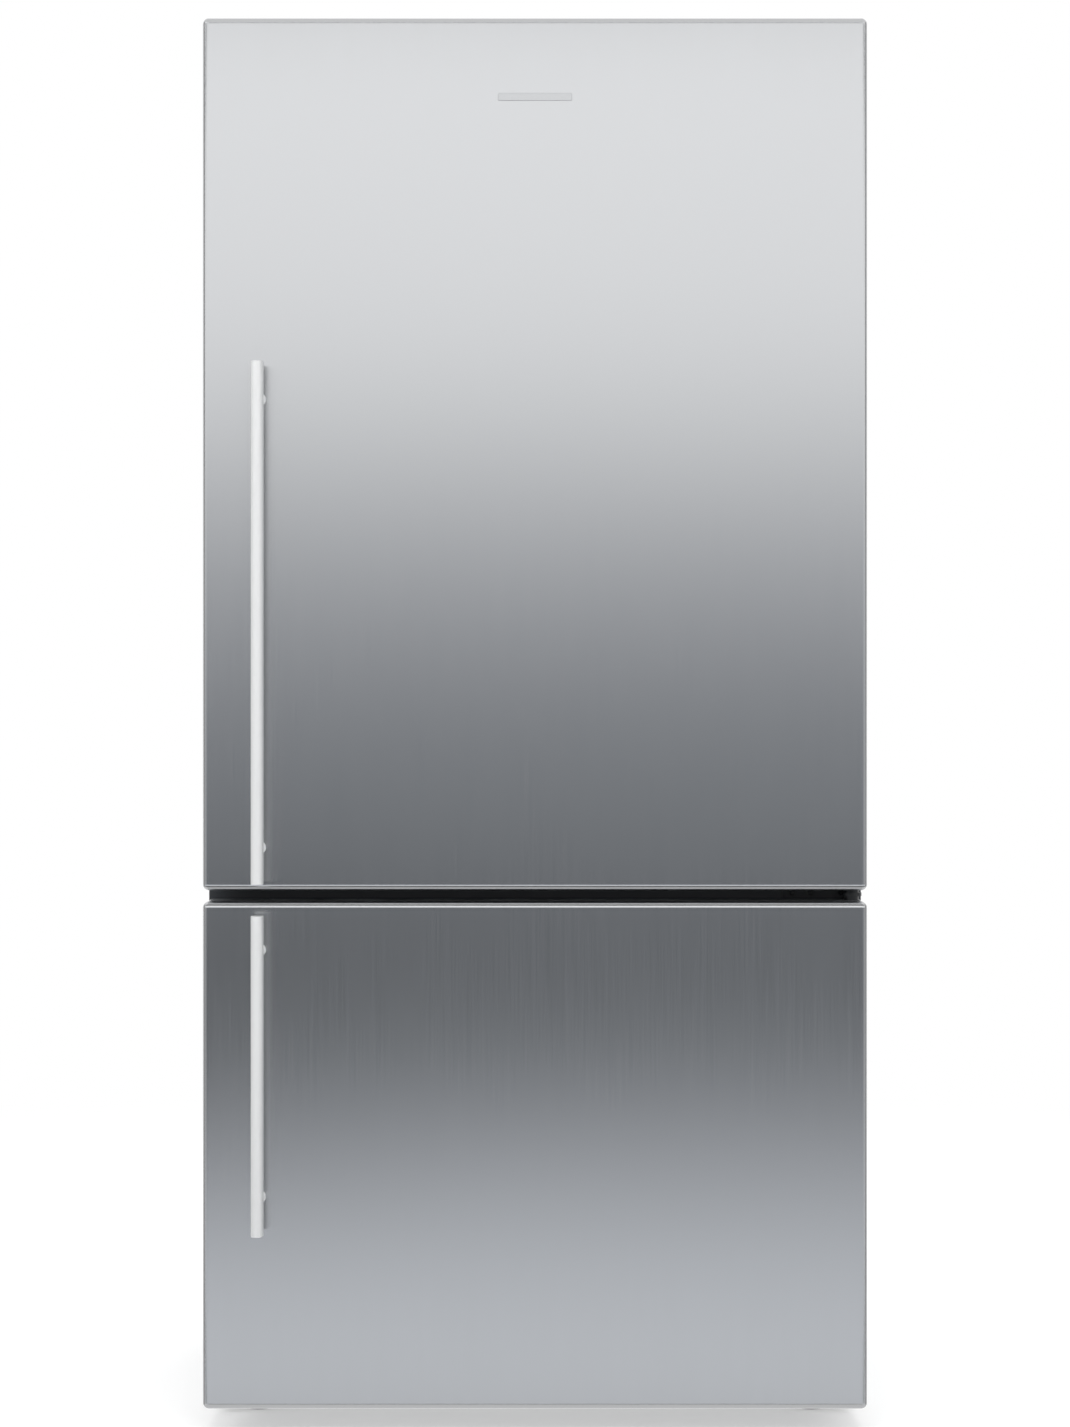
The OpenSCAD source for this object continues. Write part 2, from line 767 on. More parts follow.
// Frame of the seal between two outlines, from x0 to x1 in from its outer edge
module seal_ring(z0, z1, from, to) {
  x = half_w - seal_side;
  difference() {
    rect(from - x, x - from, z0 + from, z1 - from);
    rect(to - x, x - to, z0 + to, z1 - to);
  }
}

// Extruded seal: a flat foot on the door, two bellows webs and the magnet sleeve
module door_gasket(z0, z1) {
  foot_t = 2.4;
  sleeve_t = 5;
  end = y_front - 0.3;
  slab_y(y_door_rear, y_door_rear + foot_t) seal_ring(z0, z1, 0, seal_w);
  slab_y(y_door_rear + foot_t - eps, end - sleeve_t + eps) {
    seal_ring(z0, z1, 3, 4.6);
    seal_ring(z0, z1, 16, 17.6);
  }
  slab_y(end - sleeve_t, end) seal_ring(z0, z1, 1, 19);
}

// Extruded bar with a round front, carried on two posts with washers
module handle(z0, z1) {
  x = handle_inset - half_w;
  r = handle_w / 2;
  washer = 1.5;
  slab_z(z0, z1) {
    translate([x, y_handle + r]) circle(r = r);
    rect(x - r, x + r, y_handle + r, y_handle + handle_d);
  }
  for (z = [z0 + post_inset, z1 - post_inset]) {
    rod_y(x, y_handle + handle_d - 1, y_door_front, z, post_r);
    rod_y(x, y_door_front - washer, y_door_front, z, post_r + 2.5);
  }
}

// Open bin hooked between the side ridges of the fridge door
module door_bin(z0, h, front_h) {
  r = 14;
  difference() {
    slab_z(z0, z0 + h) round_rect(-bin_x, bin_x, bin_y0, bin_y1, r);
    slab_z(z0 + bin_t, z0 + h + 1) round_rect(bin_t - bin_x, bin_x - bin_t, bin_y0 + bin_t, bin_y1 - bin_t,
      r - bin_t);
    block(-bin_x - 1, bin_x + 1, bin_y0 + 26, bin_y1 + 1, z0 + front_h, z0 + h + 1);
    slab_x(-bin_x - 1, bin_x + 1) polygon([
      [bin_y0 + 8, z0 + h + 1], [bin_y0 + 27, z0 + front_h - eps], [bin_y0 + 27, z0 + h + 1]
    ]);
  }
  // moulded rail along the front edge
  slab_z(z0 + front_h - 14, z0 + front_h) difference() {
    round_rect(-bin_x, bin_x, bin_y0 + 27, bin_y1, r);
    round_rect(bin_t + 2 - bin_x, bin_x - bin_t - 2, bin_y0 + 10, bin_y1 - bin_t - 2, r - bin_t - 2);
    rect(-bin_x - 1, bin_x + 1, bin_y0 + 20, bin_y0 + 42);
  }
  for (s = [-1, 1])
    block(min(s * (bin_x - 1), s * (pocket_x - 0.5)), max(s * (bin_x - 1), s * (pocket_x - 0.5)),
      y_door_rear + 14, y_door_rear + 32, z0 + tab_rise, z0 + tab_rise + tab_h);
}

module fridge_door_skin() {
  color("#c3c5c7") door_skin(fridge_z0, fridge_z1, true, false);
}

module fridge_door_foam() {
  color("#f3e6bd")
    door_foam(fridge_z0, fridge_z1, fridge_dyke_x, fridge_dyke_z0, fridge_dyke_z1, fridge_dyke_d);
}

module fridge_door_liner() {
  color("#f1f2f2")
    door_liner(fridge_z0, fridge_z1, fridge_dyke_x, fridge_dyke_z0, fridge_dyke_z1, fridge_dyke_d,
      [bottle_z, middle_bin_z, upper_bin_z, dairy_z]);
}

module fridge_door_gasket() {
  color("#8b8d8f") door_gasket(fridge_z0 + seal_gap_side, roof_z - seal_roof);
}

module fridge_door_caps() {
  color("#3c3e41") {
    door_cap(fridge_z1, 1, true);
    door_cap(fridge_z0, -1, false);
  }
}

module fridge_handle() {
  color("#d5d7d8")
    handle(fridge_z0 + fridge_handle_rise, fridge_z0 + fridge_handle_rise + fridge_handle_l);
}

module freezer_door_skin() {
  color("#c3c5c7") door_skin(freezer_z0, freezer_z1, false, true);
}

module freezer_door_foam() {
  color("#f3e6bd")
    door_foam(freezer_z0, freezer_z1, freezer_dyke_x, freezer_dyke_z0, freezer_dyke_z1, freezer_dyke_d);
}

module freezer_door_liner() {
  color("#f1f2f2")
    door_liner(freezer_z0, freezer_z1, freezer_dyke_x, freezer_dyke_z0, freezer_dyke_z1, freezer_dyke_d, []);
}

module freezer_door_gasket() {
  color("#8b8d8f") door_gasket(base_z + seal_base, freezer_z1 - seal_gap_side);
}

module freezer_door_caps() {
  color("#3c3e41") {
    door_cap(freezer_z1, 1, false);
    door_cap(freezer_z0, -1, true);
  }
}

module freezer_handle() {
  color("#d5d7d8")
    handle(freezer_z1 - freezer_handle_drop - freezer_handle_l, freezer_z1 - freezer_handle_drop);
}

module door_bins() {
  color("#dfe9ee", 0.6) {
    door_bin(middle_bin_z, door_bin_h, 76);
    door_bin(upper_bin_z, door_bin_h, 76);
  }
}

module bottle_bin() {
  color("#dfe9ee", 0.6) door_bin(bottle_z, bottle_h, 112);
}

module dairy_bin() {
  top_t = 2.5;
  color("#dfe9ee", 0.6) {
    difference() {
      block(-bin_x, bin_x, bin_y0, bin_y1, dairy_z, dairy_z + dairy_h);
      block(bin_t - bin_x, bin_x - bin_t, bin_y0 + bin_t, bin_y1 + 1, dairy_z + bin_t,
        dairy_z + dairy_h - top_t);
      block(bin_t - bin_x, bin_x - bin_t, flap_y - 9, bin_y1 + 1, dairy_z + bin_t, dairy_z + dairy_h + 1);
      rod_x(-bin_x - 1, bin_x + 1, flap_y, flap_z, flap_pin_r + pin_clear);
    }
    for (s = [-1, 1])
      block(min(s * (bin_x - 1), s * (pocket_x - 0.5)), max(s * (bin_x - 1), s * (pocket_x - 0.5)),
        y_door_rear + 14, y_door_rear + 32, dairy_z + tab_rise, dairy_z + tab_rise + tab_h);
  }
}

module dairy_flap() {
  x = bin_x - bin_t - 1;
  z0 = dairy_z + bin_t + 1;
  color("#dfe9ee", 0.6) {
    // curved front panel
    intersection() {
      difference() {
        rod_x(-x, x, bin_y1 - 162, (z0 + flap_z) / 2, 160);
        rod_x(-x - 1, x + 1, bin_y1 - 162, (z0 + flap_z) / 2, 157.4);
      }
      block(-x - 2, x + 2, flap_y - 2, bin_y1, z0, flap_z + 3);
    }
    for (s = [-1, 1]) {
      // ears that join the panel to the pins
      slab_x(s > 0 ? x - 3 : -x, s > 0 ? x : 3 - x) {
        circle_at(flap_y, flap_z, 6);
        rect(flap_y, bin_y1 - 5, flap_z - 5, flap_z + 1);
      }
      rod_x(s > 0 ? x - 1 : -bin_x, s > 0 ? bin_x : 1 - x, flap_y, flap_z, flap_pin_r);
    }
    // finger lip along the lower edge
    rod_x(-60, 60, bin_y1 - 6.2, z0 + 4, 2.4);
  }
}

// Fridge interior

module air_duct() {
  y0 = space_back - liner_t - duct_d;
  y1 = space_back - liner_t;
  z0 = cover_top + 18;
  z1 = fridge_roof - liner_t - 30;
  t = 2.5;
  x = duct_w / 2;
  color("#e6e8e9") difference() {
    slab_z(z0, z1) polygon([[-x, y1], [-x, y0 + 10], [10 - x, y0], [x - 10, y0], [x, y0 + 10], [x, y1]]);
    slab_z(z0 + t, z1 - t) polygon([
      [t - x, y1 + 1], [t - x, y0 + 11], [11 - x, y0 + t], [x - 11, y0 + t], [x - t, y0 + 11], [x - t, y1 + 1]
    ]);
    // air outlets between the shelves
    for (i = [0, 3, 6, 9], s = [-1, 1], k = [0, 1])
      slab_y(y0 - 1, y0 + t + 1)
        round_rect(s * 55 - 28, s * 55 + 28, ledge_z(i) + 14 + k * 12, ledge_z(i) + 20 + k * 12, 2.5);
  }
}

module light_lens() {
  y0 = console_y1 + 14;
  z1 = fridge_roof - liner_t;
  color("#fbfbf6", 0.8) {
    slab_z(z1 - 3, z1) round_rect(-110, 110, y0, y0 + 46, 6);
    for (i = [0 : 9]) block(-100, 100, y0 + 4 + i * 4, y0 + 6 + i * 4, z1 - 5, z1 - 3 + eps);
  }
}

module control_console() {
  t = 2.5;
  color("#d9dcdd") difference() {
    slab_x(-console_x, console_x) polygon([
      [console_y0, console_z1], [console_y0, console_z0 + 3], [console_y0 + 3, console_z0],
      [console_y1 - 14, console_z0], [console_y1, console_z1 - 6], [console_y1, console_z1]
    ]);
    slab_x(t - console_x, console_x - t) polygon([
      [console_y0 + t, console_z1 + 1], [console_y0 + t, console_z0 + 4], [console_y0 + 4, console_z0 + t],
      [console_y1 - 15, console_z0 + t], [console_y1 - t, console_z1 - 5], [console_y1 - t, console_z1 + 1]
    ]);
    for (s = [-1, 1]) rod_y(s * 30, console_y0 - 1, console_y0 + t + 1, button_z, button_r + slide_clear);
    // bare window between the buttons
    slab_y(console_y0 - 1, console_y0 + 0.8) round_rect(-16, 16, button_z - 5, button_z + 5, 2);
  }
}

module push_button(x) {
  color("#f4f5f5") {
    rod_y(x, console_y0 - 1.5, console_y0 + 4, button_z, button_r);
    rod_y(x, console_y0 + 2.8, console_y0 + 4.2, button_z, button_r + 1);
    rod_y(x, console_y0 + 4, console_y0 + 12, button_z, 2);
  }
}

module fridge_button() {
  push_button(-30);
}

module freezer_button() {
  push_button(30);
}

// Ring frame with a seat for its glass
module shelf_frame(z0, z_glass) {
  x = frame_x;
  difference() {
    slab_z(z0, z0 + frame_h) round_rect(-x, x, shelf_y0, shelf_y1, frame_r);
    slab_z(z0 - 1, z0 + frame_h + 1)
      round_rect(frame_w - x, x - frame_w, shelf_y0 + frame_w, shelf_y1 - frame_w, seat_r);
    slab_z(z_glass, z0 + frame_h + 1)
      round_rect(-glass_x - seat_clear, glass_x + seat_clear, shelf_y0 + seat_w - seat_clear,
        shelf_y1 - seat_w + seat_clear, seat_r);
  }
}

module glass_pane(z) {
  slab_z(z, z + glass_t) round_rect(-glass_x, glass_x, shelf_y0 + seat_w, shelf_y1 - seat_w, seat_r);
}

function glass_seat(z0) = z0 + frame_h - glass_t;

module shelf_frames() {
  color("#dfe1e2") for (i = shelf_levels) {
    shelf_frame(ledge_z(i), glass_seat(ledge_z(i)));
    // rounded nosing along the front edge
    intersection() {
      rod_x(frame_r - frame_x, frame_x - frame_r, shelf_y0, ledge_z(i) + frame_h / 2, frame_h / 2);
      block(-frame_x, frame_x, shelf_y0 - frame_h, shelf_y0 + eps, ledge_z(i), ledge_z(i) + frame_h);
    }
  }
}

module shelf_glass() {
  color("#d4ece6", 0.4) {
    for (i = shelf_levels) glass_pane(glass_seat(ledge_z(i)));
    glass_pane(cover_z + frame_h - glass_t);
  }
}

// Frame over the crispers, with rails that their rims slide on and a vent track for each slide
module crisper_cover() {
  x = frame_x;
  web = x - 10;
  foot_y0 = shelf_y0 + 14;
  foot_y1 = crisper_y1;
  color("#dfe1e2") difference() {
    union() {
      shelf_frame(cover_z, glass_seat(cover_z));
      for (s = [-1, 1]) {
        block(min(s * web, s * (web - rail_web_t)), max(s * web, s * (web - rail_web_t)),
          foot_y0, foot_y1, rail_foot_z, cover_z + eps);
        block(min(s * web, s * (web - rail_foot_w)), max(s * web, s * (web - rail_foot_w)),
          foot_y0, foot_y1, rail_foot_z, rail_foot_z + rim_t);
      }
      block(-rail_web_t / 2, rail_web_t / 2, foot_y0, foot_y1, rail_foot_z, cover_z + eps);
      block(-rail_foot_w, rail_foot_w, foot_y0, foot_y1, rail_foot_z, rail_foot_z + rim_t);
      // bar that carries the centre rail under the glass
      block(-24, 24, shelf_y0 + seat_w, shelf_y1 - seat_w, cover_z, glass_seat(cover_z));
    }
    for (x0 = slide_x)
      block(x0 - 4 - slide_clear, x0 + slide_travel + 4 + slide_clear, shelf_y0 - 1, shelf_y0 + 6,
        cover_z + 4 - slide_clear, cover_z + 8 + slide_clear);
  }
}

module humidity_slide(x0) {
  w = slide_knob_w / 2;
  color("#6fa8c8") {
    slab_y(shelf_y0 - 5, shelf_y0 - slide_clear) round_rect(x0 - w, x0 + w, cover_z + 1, cover_z + 11, 3);
    block(x0 - 4, x0 + 4, shelf_y0 - slide_clear - eps, shelf_y0 + 5, cover_z + 4, cover_z + 8);
    for (i = [-1, 0, 1]) block(x0 + i * 5 - 0.8, x0 + i * 5 + 0.8, shelf_y0 - 6, shelf_y0 - 5 + eps,
      cover_z + 2.5, cover_z + 9.5);
  }
}

module humidity_slide_left() {
  humidity_slide(slide_x[0]);
}

module humidity_slide_right() {
  humidity_slide(slide_x[1]);
}

// Drawer with a rounded tub, side rims that ride on rails and a deeper front panel with a finger lip
module drawer(x0, x1, rim, y0, y1, z0, z1, front_t, front_up, r) {
  difference() {
    union() {
      slab_z(z0, z1) round_rect(x0, x1, y0, y1, r);
      block(x0 - rim, x1 + rim, y0, y1 - 6, z1 - rim_t, z1);
      slab_z(z0 - 2, z1 + front_up) round_rect(x0 - rim, x1 + rim, y0, y0 + front_t + 2, (front_t + 1) / 2);
    }
    slab_z(z0 + bin_t, z1 + 1) round_rect(x0 + bin_t, x1 - bin_t, y0 + front_t + 2, y1 - bin_t, r - bin_t);
  }
  // finger lip across the front
  rod_x(x0 + 40, x1 - 40, y0 + front_t + 4, z1 + front_up - 3, 3);
  // stiffening ribs across the floor
  for (i = [1 : 4])
    block(x0 + 20, x1 - 20, y0 + i * (y1 - y0) / 5 - 1, y0 + i * (y1 - y0) / 5 + 1,
      z0 + bin_t - eps, z0 + bin_t + 2);
}

module crisper(side) {
  edge = frame_x - 10 - rail_web_t - 1;
  rim = 11;
  mid = rail_web_t / 2 + 1.5;
  a = side > 0 ? mid + rim : rim - edge;
  b = side > 0 ? edge - rim : -mid - rim;
  z1 = rail_foot_z + rim_t + slide_clear + rim_t;
  color("#e4eef2", 0.55) drawer(a, b, rim, crisper_y0, crisper_y1, crisper_z0, z1, 4, 8, 16);
}

module crisper_left() {
  crisper(-1);
}

module crisper_right() {
  crisper(1);
}

// Freezer interior

module freezer_bin(z0, z1, y1) {
  color("#eaf1f4", 0.6)
    drawer(-freezer_bin_x, freezer_bin_x, bin_rim_x - freezer_bin_x, freezer_bin_y0, y1, z0, z1,
      bin_front_t, 0, 14);
}

module freezer_bin_top() {
  freezer_bin(top_bin_z0, top_bin_z1, evap_y0 - 16);
}

module freezer_bin_middle() {
  freezer_bin(mid_bin_z0, mid_bin_z1, evap_y0 - 16);
}

module freezer_bin_bottom() {
  freezer_bin(low_bin_z0, low_bin_z1, step_y - liner_t - 14);
}

module evaporator() {
  x = cover_x - 60;
  x_end = x + 2;
  x_bend = x + 12;
  socket = 1;
  tube_wall = 0.3;
  fin_t = 0.8;
  fins = 23;
  cols = [evap_y0 + 30, evap_y0 + 58];
  z1 = evap_coil_z0 + evap_rows * evap_row_pitch;
  color("#c9ccce") {
    for (i = [0 : fins - 1])
      block(-x + i * 2 * x / (fins - 1) - fin_t / 2, -x + i * 2 * x / (fins - 1) + fin_t / 2,
        evap_y0 + 16, evap_y0 + 72, evap_coil_z0, z1);
    // end plates that stand on the cover's floor and hook on the rear wall
    for (s = [-1, 1]) block(s * x_end - 0.8, s * x_end + 0.8, evap_y0 + 12, space_back - liner_t,
      evap_cover_z0 + evap_cover_t, z1 + 4);
    for (k = [0 : evap_rows - 1], y = cols)
      rod_x(-x_bend - socket, x_bend + socket, y, evap_coil_z0 + (k + 0.5) * evap_row_pitch, tube_r);
    // return bends, brazed into the rows at alternate ends
    for (k = [0 : evap_rows - 2], y = cols) {
      s = k % 2 == 0 ? 1 : -1;
      translate([s * x_bend, y, evap_coil_z0 + (k + 1) * evap_row_pitch])
        rotate([90, s > 0 ? 90 : -90, 0])
          rotate_extrude(angle = 180) translate([evap_row_pitch / 2, 0]) circle(r = tube_r - tube_wall);
    }
  }
}

// Guard in front of the evaporator fan: a hub disc, a ring and four spokes
module fan_guard(y0, y1) {
  rod_y(0, y0, y1, evap_fan_z, 13);
  difference() {
    rod_y(0, y0, y1, evap_fan_z, 32);
    rod_y(0, y0 - 1, y1 + 1, evap_fan_z, 29);
  }
  for (a = [45 : 90 : 315]) translate([0, 0, evap_fan_z]) rotate([0, a, 0])
    block(12, evap_fan_r + 8, y0, y1, -1.5, 1.5);
}

// Moulded cover over the evaporator, with its fan ring, air slots and side walls
module evaporator_cover() {
  t = evap_cover_t;
  x = cover_x;
  y0 = evap_y0;
  y1 = space_back - liner_t;
  hole_r = evap_fan_r + 3;
  ring_y1 = evap_fan_y + evap_fan_depth + motor_gap + motor_arm_t;
  color("#e9ebec") {
    difference() {
      block(-x, x, y0, y1, evap_cover_z0, evap_cover_z1);
      block(t - x, x - t, y0 + t, y1 + 1, evap_cover_z0 + t, evap_cover_z1 - t);
      difference() {
        rod_y(0, y0 - 1, y0 + t + 1, evap_fan_z, hole_r);
        fan_guard(y0 - 2, y0 + t + 2);
      }
      for (i = [0 : 11]) slab_y(y0 - 1, y0 + t + 1)
        round_rect(i * 40 - 232, i * 40 - 208, evap_cover_z0 + 10, evap_cover_z0 + 16, 2.5);
      for (i = [0 : 4], s = [-1, 1], k = [0 : 2]) slab_y(y0 - 1, y0 + t + 1)
        round_rect(s * (90 + i * 36) - 14, s * (90 + i * 36) + 14, evap_fan_z + 10 + k * 12,
          evap_fan_z + 15 + k * 12, 2.4);
    }
    // fan ring behind the face, which the motor's arms are screwed to
    difference() {
      rod_y(0, y0 + t - eps, ring_y1, evap_fan_z, hole_r + fan_ring_t);
      rod_y(0, y0 + t - 1, ring_y1 + 1, evap_fan_z, hole_r);
    }
  }
}

// Axial rotor round +Z from z = 0: a cupped hub, pitched blades and a shaft below the hub
module fan_rotor(r, hub_r, depth, shaft_r, shaft_l) {
  pitch = 32;
  chord = (depth - 2) / sin(pitch);
  difference() {
    cylinder(r = hub_r, h = depth);
    translate([0, 0, -1]) cylinder(r = hub_r - 3, h = depth - 2);
  }
  translate([0, 0, -shaft_l]) cylinder(r = shaft_r, h = shaft_l + depth - 1);
  intersection() {
    translate([0, 0, 0.5]) difference() {
      cylinder(r = r, h = depth - 1);
      translate([0, 0, -1]) cylinder(r = hub_r - 1, h = depth + 2);
    }
    for (i = [0 : blade_count - 1]) rotate([0, 0, i * 360 / blade_count])
      translate([0, 0, depth / 2]) rotate([pitch, 0, 0]) difference() {
        // each blade is a slice of a curved sheet, swept back towards its tip
        translate([hub_r - 2, 0, -chord * 0.9]) rotate([0, 90, 0])
          cylinder(r = chord * 0.9 + 1, h = r - hub_r + 8);
        translate([hub_r - 3, 0, -chord * 0.9]) rotate([0, 90, 0])
          cylinder(r = chord * 0.9 - 0.8, h = r - hub_r + 10);
        translate([0, -chord * 2.2, -chord * 2.5]) cube([2 * r, chord * 1.6, chord * 4]);
        translate([0, chord * 0.6, -chord * 2.5]) cube([2 * r, chord * 1.6, chord * 4]);
        translate([0, -chord * 2, -chord * 4.5]) cube([2 * r, chord * 4, chord * 4]);
      }
  }
}

module evaporator_fan() {
  color("#3d4043") translate([0, evap_fan_y, evap_fan_z]) rotate([90, 0, 0])
    translate([0, 0, -evap_fan_depth]) fan_rotor(evap_fan_r, 17, evap_fan_depth, shaft_r, 14);
}

module condenser_fan() {
  color("#3d4043") translate([cond_fan_x, machine_mid_y, cond_fan_z]) rotate([0, -90, 0])
    translate([0, 0, -cond_fan_depth]) fan_rotor(cond_fan_r, 24, cond_fan_depth, shaft_r, 16);
}

// Motor can with mounting arms, bored for the rotor's shaft, shaft mouth at z = 0 facing +Z
module fan_motor(r, h, arm) {
  difference() {
    union() {
      translate([0, 0, -h]) cylinder(r = r, h = h);
      translate([0, 0, -h - 3]) cylinder(r = r * 0.6, h = h);
      for (a = [45 : 90 : 315]) rotate([0, 0, a])
        block(r - 2, arm, -3, 3, -2 * motor_arm_t, -motor_arm_t);
    }
    translate([0, 0, -h]) cylinder(r = motor_bore, h = h + 1);
  }
}

module fan_motors() {
  color("#1f2123") {
    translate([0, evap_fan_y + evap_fan_depth + motor_gap, evap_fan_z]) rotate([90, 0, 0])
      fan_motor(18, 20, evap_fan_r + 5);
    translate([cond_fan_x + cond_fan_depth + motor_gap, machine_mid_y, cond_fan_z]) rotate([0, -90, 0])
      fan_motor(26, 30, cond_fan_r + 5);
  }
}

// Machine space

module compressor() {
  z0 = deck_z + mount_h;
  cz = z0 + 6;
  h = 132;
  r = shell_r;
  color("#1d1f21") translate([compressor_x, machine_mid_y, 0]) {
    // domed shell of revolution with its weld flange
    translate([0, 0, cz]) rotate_extrude() difference() {
      union() {
        rect(0, r, 26, h - 30);
        rect(0, r - 26, 0, h);
        circle_at(r - 26, 26, 26);
        circle_at(r - 30, h - 30, 30);
        rect(0, r + 4, h * 0.56, h * 0.56 + 5);
      }
      rect(-r, 0, -50, h + 50);
    }
    // foot plate that sits on the four mounts
    slab_z(z0, z0 + 4) difference() {
      round_rect(-mount_dx - 14, mount_dx + 14, -mount_dy - 14, mount_dy + 14, 12);
      for (x = [-mount_dx, mount_dx], y = [-mount_dy, mount_dy]) circle_at(x, y, 7);
    }
    rod_z(0, 0, z0 + 3, cz + 8, r * 0.55);
    // discharge stub and suction stub
    rod_x(-r - 14, -10, pipe_y - machine_mid_y, cz + 92, pipe_r);
    rod_y(10, -r - 10, -10, cz + 60, pipe_r + 1);
    // terminal cover
    block(r - 14, r + 18, -26, 26, cz + 34, cz + 84);
  }
}

module compressor_mounts() {
  color("#2b2b2b") translate([compressor_x, machine_mid_y, 0])
    for (x = [-mount_dx, mount_dx], y = [-mount_dy, mount_dy]) {
      rod_z(x, y, deck_z, deck_z + mount_h - 4, 13);
      rod_z(x, y, deck_z + mount_h - 5, deck_z + mount_h, 10);
      rod_z(x, y, deck_z + mount_h - eps, deck_z + mount_h + 5, 6.7);
    }
}

module condenser() {
  bend_out = 6 + coil_row_pitch / 2 + tube_r;
  y0 = machine_y + bend_out + 3;
  y1 = y_back - cover_recess - cover_fold - bend_out - 3;
  fins = 20;
  fin_t = 0.8;
  color("#33373a") {
    for (i = [0 : fins - 1])
      block(coil_x - 26, coil_x + 26, y0 + i * (y1 - y0) / (fins - 1) - fin_t / 2,
        y0 + i * (y1 - y0) / (fins - 1) + fin_t / 2, coil_z0, coil_z1);
    for (k = [0 : coil_rows - 1], x = [-13, 13])
      rod_y(coil_x + x, y0 - 6, y1 + 6, coil_z0 + (k + 0.5) * coil_row_pitch, tube_r);
    for (k = [0 : coil_rows - 2], x = [-13, 13]) {
      s = k % 2 == 0 ? 1 : -1;
      translate([coil_x + x, s > 0 ? y1 + 6 : y0 - 6, coil_z0 + (k + 1) * coil_row_pitch])
        rotate([0, s > 0 ? -90 : 90, 0]) rotate([0, 0, s > 0 ? 0 : 180])
          rotate_extrude(angle = 180) translate([coil_row_pitch / 2, 0]) circle(r = tube_r);
    }
    // header along the top with the stub for the discharge line, and end plates that stand on the deck
    rod_y(coil_x, y0, y1, header_z, header_r);
    rod_z(coil_x, pipe_y, header_z, stub_z, pipe_r + 1);
    for (y = [y0 - 1.6, y1]) block(coil_x - 28, coil_x + 28, y, y + 1.6, deck_z, coil_z1 + 2);
  }
}

module fan_shroud() {
  t = 3;
  x0 = cond_fan_x - 12;
  z1 = machine_z - 22;
  color("#2f3234") {
    difference() {
      slab_x(x0, x0 + t)
        round_rect(machine_y + 10, y_back - 12, deck_z, z1, 5);
      rod_x(x0 - 1, x0 + t + 1, machine_mid_y, cond_fan_z, cond_fan_r + 3);
    }
    // ring round the fan, which the motor's arms are screwed to
    slab_x(x0 + t - eps, cond_fan_x + cond_fan_depth + motor_gap + motor_arm_t) difference() {
      circle_at(machine_mid_y, cond_fan_z, cond_fan_r + 3 + fan_ring_t);
      circle_at(machine_mid_y, cond_fan_z, cond_fan_r + 3);
    }
    // foot that is screwed to the deck
    block(x0, x0 + 26, machine_y + 14, y_back - 16, deck_z, deck_z + t);
  }
}

module drain_pan() {
  x0 = -half_w + sheet_t + 8;
  x1 = coil_x - 38;
  y0 = machine_y + 14;
  y1 = y_back - 22;
  z0 = deck_z;
  color("#45484a") difference() {
    union() {
      slab_z(z0, z0 + 52) round_rect(x0 + 4, x1 - 4, y0 + 4, y1 - 4, 12);
      slab_z(z0 + 49, z0 + 52) round_rect(x0, x1, y0, y1, 14);
    }
    slab_z(z0 + 2, z0 + 53) round_rect(x0 + 6, x1 - 6, y0 + 6, y1 - 6, 10);
  }
}

module rear_cover() {
  x = half_w - sheet_t - 4;
  y1 = y_back - cover_recess;
  z0 = deck_z;
  z1 = machine_z - 2;
  slot_l = 70;
  color("#6a6d70") difference() {
    union() {
      block(-x, x, y1 - pan_t, y1, z0, z1);
      // folded border
      for (s = [-1, 1]) block(min(s * x, s * (x - pan_t)), max(s * x, s * (x - pan_t)),
        y1 - cover_fold, y1 + 5, z0, z1);
      for (z = [z0, z1 - pan_t]) block(-x, x, y1 - cover_fold, y1 + 5, z, z + pan_t);
    }
    // air slots in front of the compressor and the condenser
    for (cx = [-300, -215, -130, 60, 145, 230], i = [0 : 7])
      slab_y(y1 - 4, y1 + 6)
        round_rect(cx - slot_l / 2, cx + slot_l / 2, z0 + 34 + i * 18, z0 + 40 + i * 18, 2.9);
    rod_y(gland_x, y1 - 4, y1 + 6, gland_z, gland_r + gland_clear);
  }
}

// Rubber bush that the supply lead would pass through
module cable_gland() {
  y1 = y_back - cover_recess;
  color("#1a1a1a") difference() {
    union() {
      rod_y(gland_x, y1 - pan_t - 5, y1 + 5, gland_z, gland_r);
      rod_y(gland_x, y1, y1 + 3, gland_z, gland_r + 4);
      rod_y(gland_x, y1 - pan_t - 3, y1 - pan_t, gland_z, gland_r + 3);
    }
    rod_y(gland_x, y1 - 20, y1 + 10, gland_z, 3.8);
  }
}

// Quarter bend in the x-z plane round the point (x, z), from angle a on, where 0 is +x and 90 is +z
module elbow(x, z, a) {
  translate([x, pipe_y, z]) rotate([90, 0, 0]) rotate([0, 0, a])
    rotate_extrude(angle = 90) translate([pipe_bend_r, 0]) circle(r = pipe_r);
}

module refrigerant_pipes() {
  cz = deck_z + mount_h + 6;
  x0 = compressor_x - shell_r - 14.3;
  x1 = x0 - 10;
  z = cz + 92;
  b = pipe_bend_r;
  color("#b87333") {
    // discharge line: out of the compressor, up, over the fan and down to the condenser's header
    rod_x(x1, x0, pipe_y, z, pipe_r);
    elbow(x1, z + b, 180);
    rod_z(x1 - b, pipe_y, z + b, pipe_z - b, pipe_r);
    elbow(x1 - 2 * b, pipe_z - b, 0);
    rod_x(coil_x + b, x1 - 2 * b, pipe_y, pipe_z, pipe_r);
    elbow(coil_x + b, pipe_z - b, 90);
    rod_z(coil_x, pipe_y, stub_z, pipe_z - b, pipe_r);
    // filter drier in the line
    rod_x(-30, 50, pipe_y, pipe_z, 8);
    // suction line from the step wall into the compressor
    rod_y(compressor_x + 10, machine_y + 0.3, machine_mid_y - shell_r - 10.3, cz + 60, pipe_r + 1);
  }
}

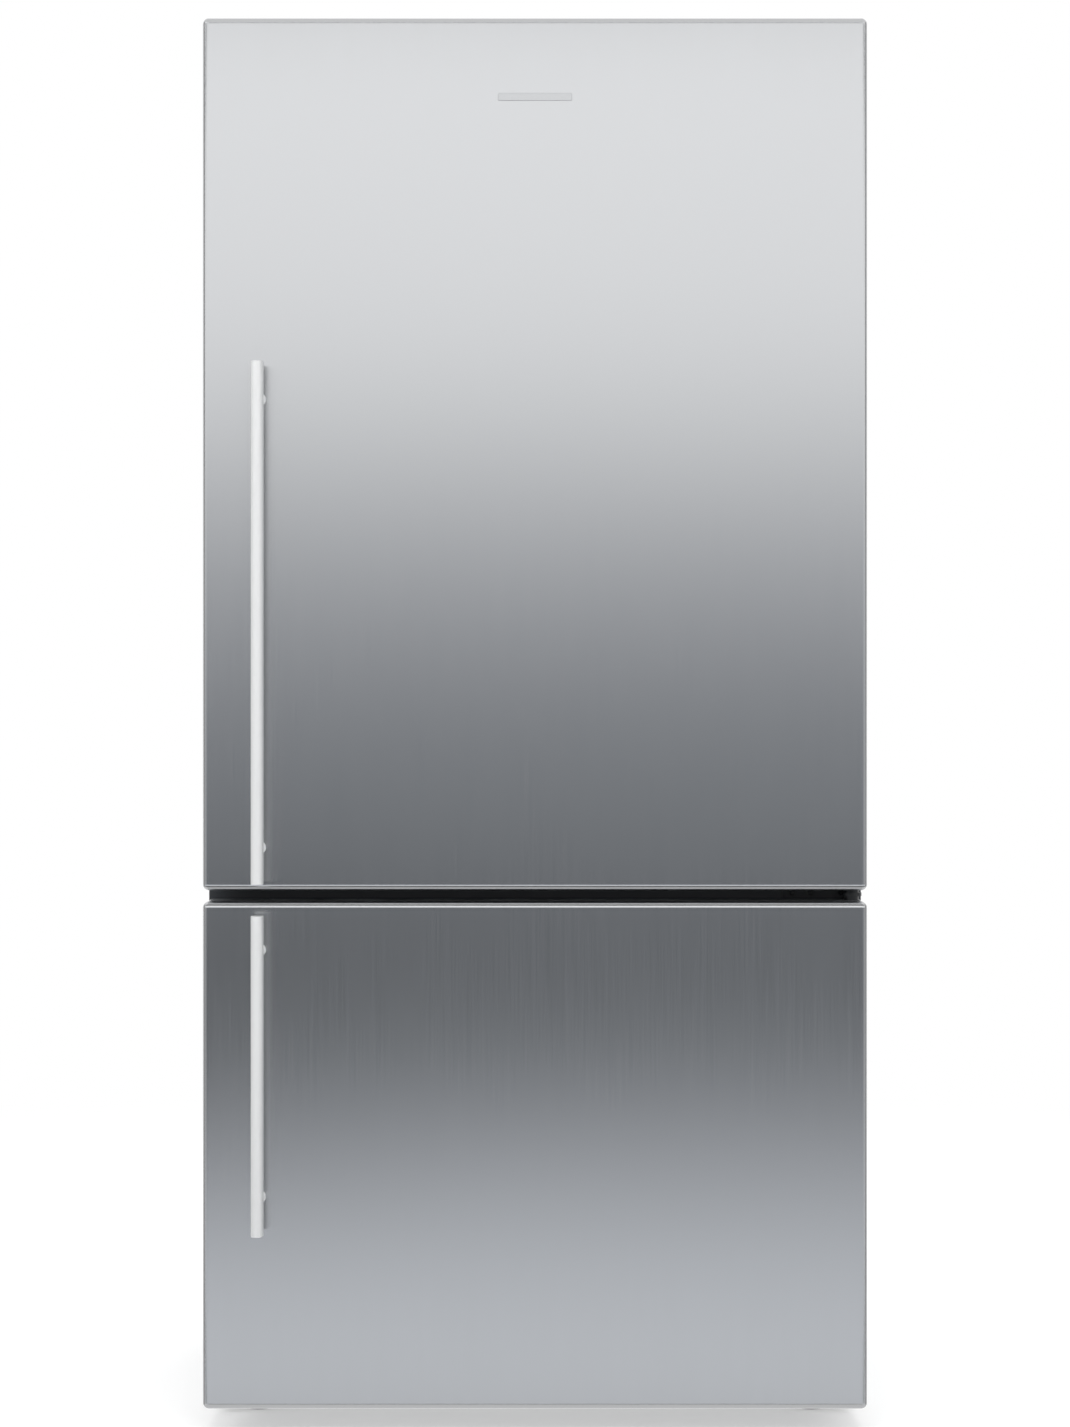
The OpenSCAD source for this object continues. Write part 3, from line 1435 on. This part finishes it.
// Feet and rollers

module levelling_foot(x) {
  color("#2a2c2e") {
    rod_z(x, foot_y, 0, 5, 20);
    translate([x, foot_y, 5]) cylinder(r1 = 20, r2 = 13, h = 4);
    rod_z(x, foot_y, 9 - eps, 16, 10, $fn = 6);
    rod_z(x, foot_y, 9, base_z - 3, stem_r);
  }
}

module levelling_foot_left() {
  levelling_foot(-foot_x);
}

module levelling_foot_right() {
  levelling_foot(foot_x);
}

module rear_roller(x) {
  color("#26282a") difference() {
    rod_x(x - roller_w / 2, x + roller_w / 2, roller_y, roller_r, roller_r);
    rod_x(x - roller_w, x + roller_w, roller_y, roller_r, axle_r + pin_clear);
    for (s = [-1, 1]) translate([x + s * roller_w / 2, roller_y, roller_r]) rotate([0, 90, 0])
      difference() {
        cylinder(r = roller_r - 3, h = 4, center = true);
        cylinder(r = axle_r + 3, h = 5, center = true);
      }
  }
}

module rear_roller_left() {
  rear_roller(-roller_x);
}

module rear_roller_right() {
  rear_roller(roller_x);
}

cabinet_wrapper();
back_panel();
cabinet_foam();
fridge_liner();
freezer_liner();
cross_rails();
base_pan();
kick_plate();
top_hinge();
hinge_cover();
middle_hinge();
bottom_hinge();
air_duct();
light_lens();
control_console();
shelf_glass();
shelf_frames();
crisper_cover();
evaporator();
evaporator_cover();
fan_motors();
compressor();
compressor_mounts();
condenser();
fan_shroud();
drain_pan();
rear_cover();
cable_gland();
refrigerant_pipes();
fridge_door_skin();
fridge_door_foam();
fridge_door_liner();
fridge_door_gasket();
fridge_door_caps();
fridge_handle();
dairy_bin();
door_bins();
bottle_bin();
dairy_flap();
freezer_door_skin();
freezer_door_foam();
freezer_door_liner();
freezer_door_gasket();
freezer_door_caps();
freezer_handle();
crisper_left();
crisper_right();
freezer_bin_top();
freezer_bin_middle();
freezer_bin_bottom();
humidity_slide_left();
humidity_slide_right();
evaporator_fan();
condenser_fan();
levelling_foot_left();
levelling_foot_right();
rear_roller_left();
rear_roller_right();
fridge_button();
freezer_button();
